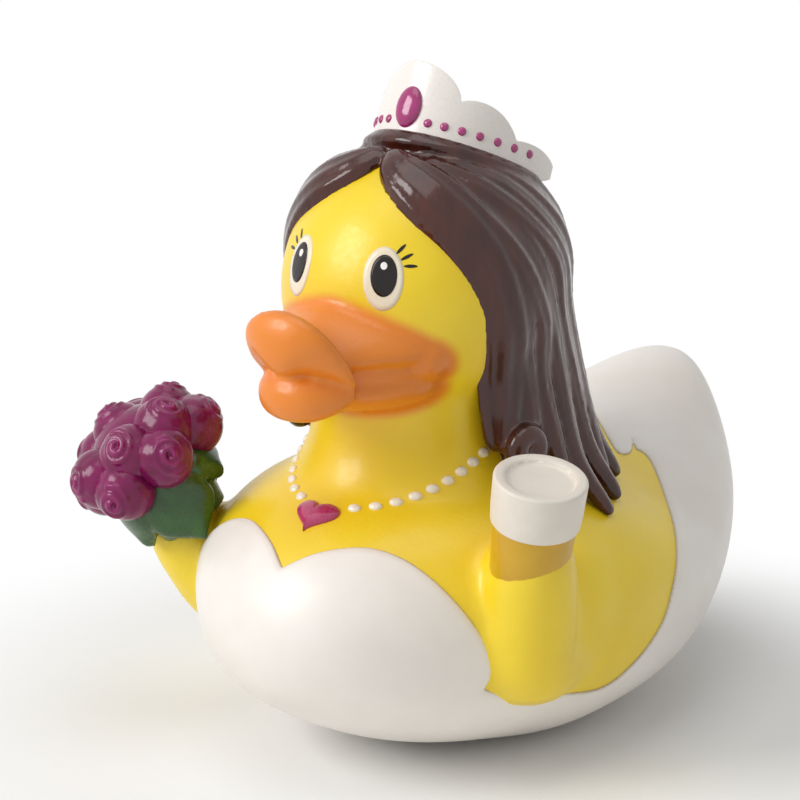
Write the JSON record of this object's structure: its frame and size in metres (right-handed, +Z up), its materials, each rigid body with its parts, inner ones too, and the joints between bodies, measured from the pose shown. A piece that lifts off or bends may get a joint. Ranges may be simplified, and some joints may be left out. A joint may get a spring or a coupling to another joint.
{
  "type": "rubber duck",
  "caption": "Bath duck dressed as a bride, with long hair, a tiara, a bouquet and a glass; hollow soft vinyl that floats and squeaks.",
  "frame": {"origin": "centre of the flat foot that the duck stands on", "axes": "+Z up, -Y the way the duck looks, +X towards its left wing"},
  "size_m": [0.0799, 0.1046, 0.0972],
  "materials": {
    "vinyl": "satin",
    "squeaker_plastic": "satin"
  },
  "bodies": {
    "root": {"duck_body": "vinyl", "squeaker_cup": "squeaker_plastic", "squeaker_reed": "squeaker_plastic"}
  },
  "joints": []
}
